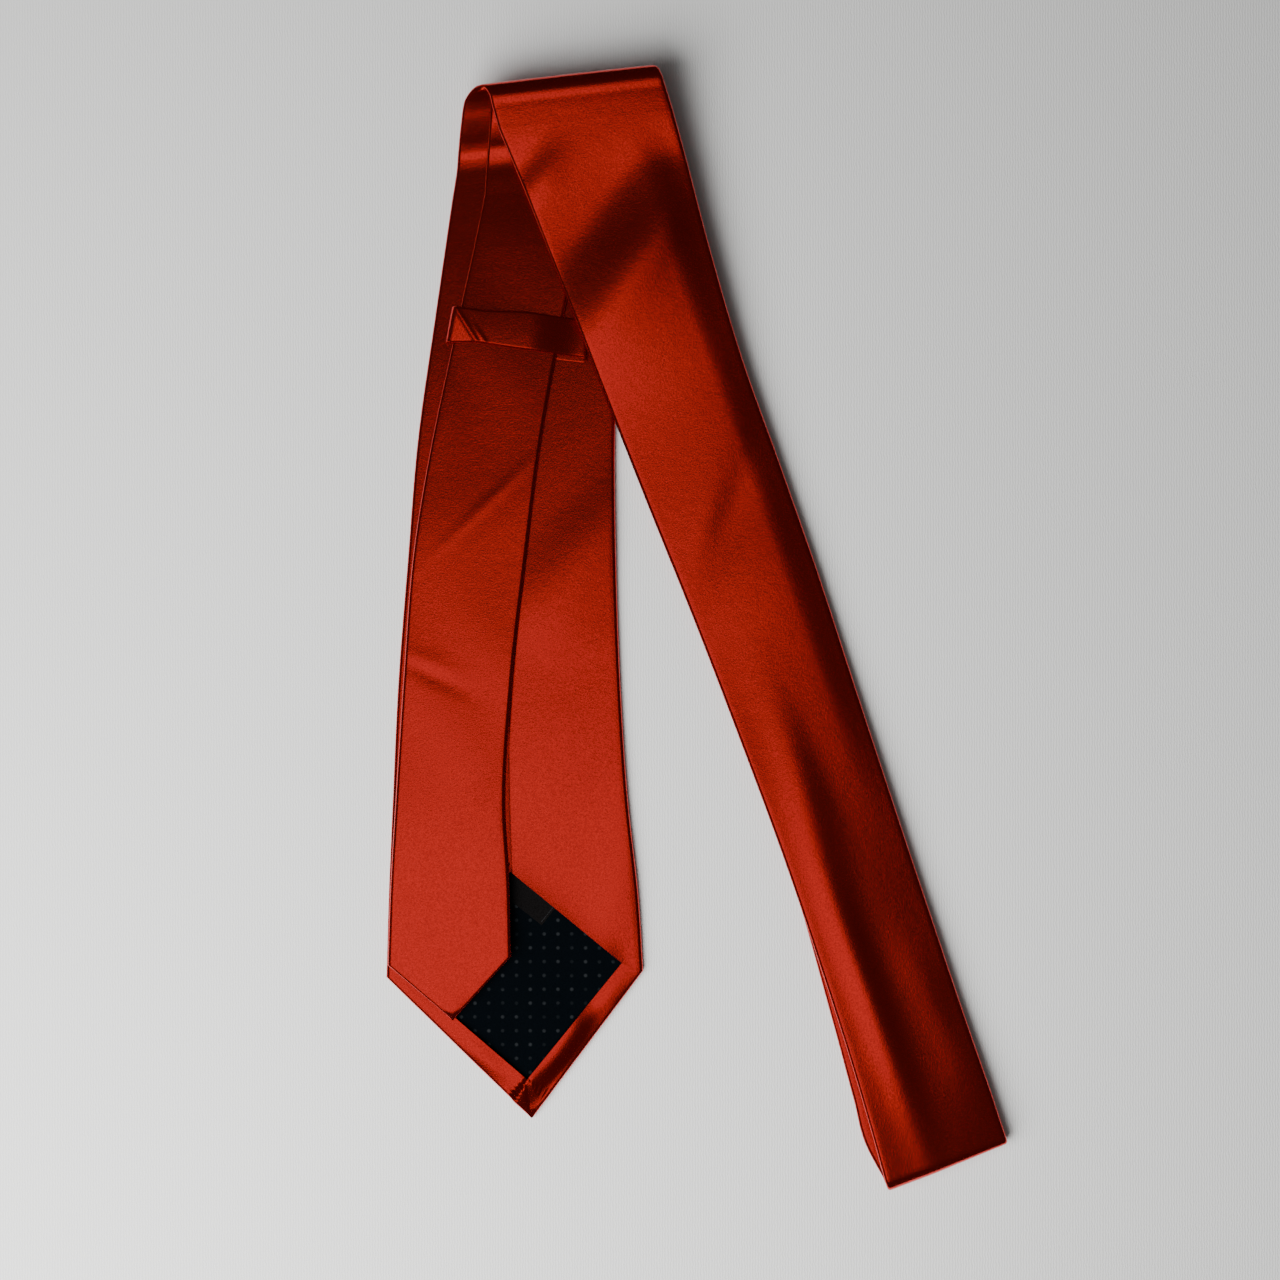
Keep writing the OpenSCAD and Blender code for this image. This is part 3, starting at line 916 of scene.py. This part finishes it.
def blade():
    rows = tipped_rows(BLADE_TIP, BLADE_ROWS)
    obj = layer("blade_cloth", layer_points(rows, PLACE_BLADE, across=44))
    open_back(obj, [BLADE_APEX, WINDOW_LEFT, WINDOW_TIP, WINDOW_RIGHT], BLADE_TIP, True, 0.35,
              hem_rise=(0.3, 1.3))
    place_on(obj, "blade", ["blade_shell"])
    declare(obj, rows)
    inner = shrunk(rows, WOOL_INSET)
    points = layer_points(inner, shifted(PLACE_BLADE, WOOL_SHIFT), **WOOL)
    padding("blade_wool", points, "blade", ["blade_interlining"], inner)
    above = rows[rows[:, 1] > BLADE_APEX[1] + 4]
    above = above - np.array([1, 0, 1, 0]) * SEAM_HIDES
    slip_stitches("blade_slip_stitches", above, PLACE_BLADE, "blade", ["blade_slip_stitch"])
    bar_tack("blade_tack", BLADE_APEX + [-2.6, 2.5], 0, PLACE_BLADE, 1.5, "blade",
             ["blade_bar_tack"], half=2.3)


def tail():
    rows = tipped_rows(TAIL_TIP, TAIL_ROWS[:-1])
    obj = layer("tail_cloth", layer_points(rows, PLACE_TAIL, across=30))
    open_back(obj, TAIL_WINDOW, TAIL_TIP, False, 0.1)
    place_on(obj, "tail", ["tail_shell"])
    declare(obj, rows)
    inner = shrunk(rows, TAIL_WOOL_INSET)
    points = layer_points(inner, shifted(PLACE_TAIL, WOOL_SHIFT), **WOOL)
    padding("tail_wool", points, "tail", ["tail_interlining"], inner)
    above = rows[rows[:, 1] > TAIL_APEX[1] + 4]
    slip_stitches("tail_slip_stitches", above, PLACE_TAIL, "tail", ["tail_slip_stitch"])
    bar_tack("tail_tack", TAIL_APEX + [0, 2.5], 0, PLACE_TAIL, 1.3, "tail", ["tail_bar_tack"])
    last = rows[-1]
    rest = curve(TAIL_ROWS[-3:], STEP, rows=True)
    rest = np.vstack([last, rest[rest[:, 1] > last[1] + 0.5]])
    low, high = (np.r_[(r[0:2] + r[2:4]) / 2, TAIL_MID] for r in (rest[0], rest[-1]))
    between = ("tail", "blade", tuple((low + [0, 2.0, 0]) * MM), tuple((high - [0, 6.0, 0]) * MM))
    thinner = np.linspace(HALF, INNER_HALF, len(rest))
    obj = layer("tail_slack_cloth", layer_points(rest, PLACE_TAIL, across=30, half=thinner))
    place_on(obj, between, ["tail_slack_shell"])
    declare(obj, rest)
    inner = shrunk(rest, WOOL_INSET)
    points = layer_points(inner, shifted(PLACE_TAIL, WOOL_SHIFT), **WOOL)
    padding("tail_slack_wool", points, between, ["tail_slack_interlining"], inner)


def fold_piece(name, line, low, high, nodes, half):
    between = ("blade", "neck", (0, 0, low * MM), (0, 0, high * MM))
    obj = layer(name + "_cloth", bend_points(line, across=40, half=half))
    place_on(obj, between, nodes[:1])
    key = curve(line, 0.8)
    run = np.r_[0, np.cumsum(np.linalg.norm(np.diff(key[:, 0:2], axis=0), axis=1))]
    rows = np.column_stack([key[:, 2], run, key[:, 3], run])
    declare(obj, rows)
    padding(name + "_wool", bend_points(line, WOOL_INSET, **WOOL), between, nodes[1:],
            shrunk(rows, WOOL_INSET))


def top_fold():
    fold_piece("top_fold", OUTER_LINE, 4.5, 10.1, ["top_fold_shell", "top_fold_interlining"],
               HALF)
    fold_piece("tail_fold", INNER_LINE, 8.4, 9.6, ["tail_fold_shell", "tail_fold_interlining"],
               INNER_HALF)


def turn_over(a, b, steps=12):
    """Cross-sections that lead from row a over the strip's lower end to row b."""
    centre = (a[:, 2].mean() + b[:, 2].mean()) / 2
    made = []
    for turn in np.linspace(0, math.pi, steps + 1)[1:-1]:
        share = (1 - math.cos(turn)) / 2
        reach = (a[:, 2] - centre) * (1 - share) + (centre - b[:, 2]) * share
        xy = a[:, 0:2] * (1 - share) + b[:, 0:2] * share
        xy = xy + np.outer(np.maximum(reach, 0) * math.sin(turn), DOWN)
        made.append(np.column_stack([xy, centre + reach * math.cos(turn)]))
    return np.array(made)


def strip():
    front_ends = np.vstack([fold_row(STRIP_FOLD_ENDS, FOLD_END), plan_rows(FRONT_ROWS)])
    back_ends = np.vstack([plan_rows(BACK_ROWS), fold_row(BACK_FOLD_ENDS, FOLD_END)])
    front = curve(front_ends, STRIP_STEP, rows=True)
    back = curve(back_ends, STRIP_STEP, rows=True)

    def nearest(row):
        return int(np.argmin(np.linalg.norm(back[:, 0:2] - plan_rows(BACK_ROWS)[row, 0:2], axis=1)))

    blade_join, tail_join = nearest(BLADE_JOIN_ROW), nearest(TAIL_JOIN_ROW)
    top = layer_points(front, PLACE_FRONT, across=36)
    pressed = np.interp(np.arange(len(back)), [len(back) - 16, len(back) - 1], [HALF, INNER_HALF])
    low = layer_points(back, PLACE_BACK, across=36, half=pressed)
    bend = turn_over(top[-1], low[0])
    pieces = {
        "blade_panel_upper": (np.concatenate([top, bend, low[: blade_join + 1]]),
                              np.vstack([front, back[: blade_join + 1]]), "blade_shell_upper"),
        "neck_panel": (low[blade_join: tail_join + 1], back[blade_join: tail_join + 1],
                       "neck_shell"),
        "tail_panel_upper": (low[tail_join:], back[tail_join:], "tail_shell_upper"),
    }
    for name, (points, rows, replaced) in pieces.items():
        obj = layer(name + "_cloth", points)
        place_on(obj, "neck", [replaced])
        declare(obj, rows)
    inner_front, inner_back = shrunk(front, WOOL_INSET), shrunk(back, WOOL_INSET)
    a = layer_points(inner_front, PLACE_FRONT, **WOOL)
    b = layer_points(inner_back, PLACE_BACK, **WOOL)
    padding("neck_wool", np.concatenate([a, turn_over(a[-1], b[0]), b]), "neck",
            ["neck_interlining"], np.vstack([inner_front, inner_back]))
    slip_stitches("neck_front_slip_stitches", front[8:-6], PLACE_FRONT, "neck",
                  ["neck_front_slip_stitch"])
    slip_stitches("neck_back_slip_stitches", back[8:-6], PLACE_BACK, "neck",
                  ["neck_back_slip_stitch"])
    for name, at, replaced in (("blade_join", blade_join, "blade_join_seam"),
                               ("tail_join", tail_join, "tail_join_seam")):
        row = back[at]
        f = np.linspace(0.06, 0.94, 61)
        x, y = row[0] + f * (row[2] - row[0]), row[1] + f * (row[3] - row[1])
        thread(name + "_stitches", [PLACE_BACK(x, y, 0.55 + 0.1 * np.sin(f * 120))], "neck",
               [replaced])


def keeper_path():
    """Places along the loop and how far up each is, from under the tail round both ends."""
    turn = np.linspace(0, math.pi, 13)[1:-1]
    left, right = KEEPER_BENDS
    under_left = np.linspace(KEEPER_MEETS[0], left, 24)
    over = np.linspace(left, right, 84)
    under_right = np.linspace(right, KEEPER_MEETS[1], 18)
    along = np.r_[under_left, left - KEEPER_BULGE[0] * np.sin(turn), over,
                  right + KEEPER_BULGE[1] * np.sin(turn), under_right]
    rise = np.r_[0 * under_left, (1 - np.cos(turn)) / 2, 0 * over + 1, (1 + np.cos(turn)) / 2,
                 0 * under_right]
    return along, rise


def over_tail(kx, ky):
    """Height of the keeper's upper part, with its folded corner."""
    crease = (kx - EAR_AT[0]) * EAR_ACROSS[0] + (ky - EAR_AT[1]) * EAR_ACROSS[1]
    z = OVER_Z - EAR_SLOPE * np.maximum(-crease, 0) - RIGHT_DROP * smooth(kx, 2, 23)
    (first, high), (second, low) = EAR_CREASES
    z = z + high * np.exp(-(((crease - first) / EAR_CREASE_WIDTH) ** 2))
    fades = smooth(-ky, -3, 4)
    return z + low * np.exp(-(((crease - second) / EAR_CREASE_WIDTH) ** 2)) * fades


def keeper():
    along, rise = keeper_path()
    upper, lower = np.array(KEEPER_UPPER), np.array(KEEPER_LOWER)

    def place(a, i, out):
        i = np.rint(i).astype(int)
        f = a / KEEPER_HALF
        kx = along[i] - (1 - f) * LEFT_LEAN * smooth(-along[i], 15, 22)
        share = rise[i]
        high = np.interp(kx, upper[:, 0], upper[:, 1])
        low = np.interp(kx, lower[:, 0], lower[:, 1])
        ky = (high + low) / 2 + f * (high - low) / 2
        ky = ky - (1 - share) * UNDER_SHIFT * smooth(kx, 0, 16)
        z = UNDER_Z * (1 - share) + over_tail(kx, ky) * share
        tx, tz = np.gradient(kx, axis=0), np.gradient(z, axis=0)
        size = np.hypot(tx, tz) + 1e-9
        out = out * (UNDER_THIN + (1 - UNDER_THIN) * share)
        kx, z = kx + tz / size * out, z - tx / size * out
        p = KEEPER_AT + kx[..., None] * KEEPER_X + ky[..., None] * KEEPER_Y
        return np.concatenate([p, z[..., None]], -1)

    n = len(along)
    rows = np.column_stack([np.full(n, -KEEPER_HALF), np.arange(n), np.full(n, KEEPER_HALF),
                            np.arange(n)])
    obj = layer("keeper_cloth", layer_points(rows, place, across=28, **KEEPER_CLOTH))
    place_on(obj, "blade", ["keeper_loop"])
    stitches = []
    f = np.linspace(-1, 1, 7)
    for k in TACK_PLACES:
        p = KEEPER_AT + np.outer(TACK_AT + TACK_HALF * f, KEEPER_X)
        p = p + np.outer(k + 0 * f, KEEPER_Y)
        stitches.append(np.column_stack([p, TACK_Z - 0.5 * f**2]))
    thread("keeper_tack_thread", stitches, "blade", ["keeper_tack"])


def kite(name, corners, z, body, nodes):
    """A square of lining sewn in cornerwise: left, top, low and right corner."""
    left, top, low, right = (np.array(c) for c in corners)
    u, v = np.meshgrid(np.linspace(0, 1, 56), np.linspace(0, 1, 56), indexing="ij")
    u, v = u[..., None], v[..., None]
    p = (1 - u) * ((1 - v) * left + v * top) + u * ((1 - v) * low + v * right)
    obj = layer(name, np.dstack([p, z(p[..., 0], p[..., 1])]), LINING, flip=False)
    place_on(obj, body, nodes)


def lining_z(x, y):
    """Height of the blade's lining, above the middle of the blade's cloth."""
    return blade_mid(x, y) + 0.35 + ripple(x, y, 19, 0.10, 0.7)


def linings():
    kite("blade_lining", [(-104.6, -118.8), (-64.0, -80.0), (-57.6, -163.0), (-20.6, -116.8)],
         lining_z, "blade", ["blade_tipping"])
    kite("tail_lining", [(-104.2, -114.0), (-85.2, -94.0), (-84.3, -131.6), (-66.6, -111.6)],
         lambda x, y: tail_mid(x, y) - 0.45, "tail", ["tail_tipping"])


LABEL_AT, LABEL_TURN, LABEL_SIZE = np.array([-60.6, -90.4]), -38.5, (26.0, 10.4)
LABEL_LIFT, LABEL_STITCH_LIFT = 0.22, 0.30  # over the lining
LABEL_STITCH_INSET, LABEL_STITCH_LENGTH = 0.8, 8.4  # from each short side, and along it


def label():
    c, s = math.cos(math.radians(LABEL_TURN)), math.sin(math.radians(LABEL_TURN))
    u, v = np.meshgrid(np.linspace(-0.5, 0.5, 53), np.linspace(-0.5, 0.5, 22), indexing="ij")
    u, v = u * LABEL_SIZE[0], v * LABEL_SIZE[1]
    x, y = LABEL_AT[0] + c * u - s * v, LABEL_AT[1] + s * u + c * v
    z = lining_z(x, y) + LABEL_LIFT + 0.05 * np.sin(u * 0.5)
    obj = layer("label_cloth", np.stack([x, y, z], -1), LABEL, flip=False)
    place_on(obj, "blade", ["label"])
    lines = []
    for end in (-1, 1):
        f = np.linspace(0, 1, 25)
        a = end * (LABEL_SIZE[0] / 2 - LABEL_STITCH_INSET) + 0 * f
        b = (f - 0.5) * LABEL_STITCH_LENGTH
        x, y = LABEL_AT[0] + c * a - s * b, LABEL_AT[1] + s * a + c * b
        z = lining_z(x, y) + LABEL_STITCH_LIFT + 0.10 * np.cos(f * 60)
        lines.append(np.column_stack([x, y, z]))
    thread("label_thread", lines, "blade", ["label_stitches"], BLACK_THREAD, 0.12)


blade()
tail()
top_fold()
strip()
keeper()
linings()
label()

# ---------------------------------------------------------------- camera, light and floor
VIEW_CENTRE = (-19.5, -3.5)
VIEW_WIDTH = 445.4
CAMERA_HEIGHT = 800.0


def camera():
    data = bpy.data.cameras.new("camera")
    data.sensor_width = 36
    data.lens = 36 * CAMERA_HEIGHT / VIEW_WIDTH
    obj = bpy.data.objects.new("camera", data)
    obj.location = (VIEW_CENTRE[0] * MM, VIEW_CENTRE[1] * MM, CAMERA_HEIGHT * MM)
    bpy.context.collection.objects.link(obj)
    bpy.context.scene.camera = obj


def area_light(name, at, aim, size, power, glossy=True):
    data = bpy.data.lights.new(name, "AREA")
    data.shape = "RECTANGLE"
    data.size, data.size_y = size
    data.energy = power
    obj = bpy.data.objects.new(name, data)
    obj.location = at
    obj.rotation_euler = (Vector(aim) - Vector(at)).to_track_quat("-Z", "Y").to_euler()
    obj.visible_glossy = glossy
    bpy.context.collection.objects.link(obj)


def floor():
    mesh = bpy.data.meshes.new("floor")
    r = 3.0
    mesh.from_pydata([(-r, -r, 0), (r, -r, 0), (r, r, 0), (-r, r, 0)], [], [(0, 1, 2, 3)])
    obj = bpy.data.objects.new("floor", mesh)
    bpy.context.collection.objects.link(obj)
    mesh.materials.append(paper_material())


def world(strength):
    w = bpy.data.worlds.new("room")
    bpy.context.scene.world = w
    w.use_nodes = True
    w.node_tree.nodes["Background"].inputs[0].default_value = (1, 1, 1, 1)
    w.node_tree.nodes["Background"].inputs[1].default_value = strength


camera()
floor()
# Each light: where it is, where it aims and how large it is, in metres, then its power in watts.
# The satin mirrors the overhead panel; the window only adds light from the left.
area_light("overhead_panel", (-1.03, -1.28, 6.0), (-1.03, -1.28, 0), (3.54, 3.05), 32)
area_light("left_window", (-0.47, -0.42, 0.47), (-0.12, -0.06, 0), (0.8, 0.7), 18, glossy=False)
world(0.03)
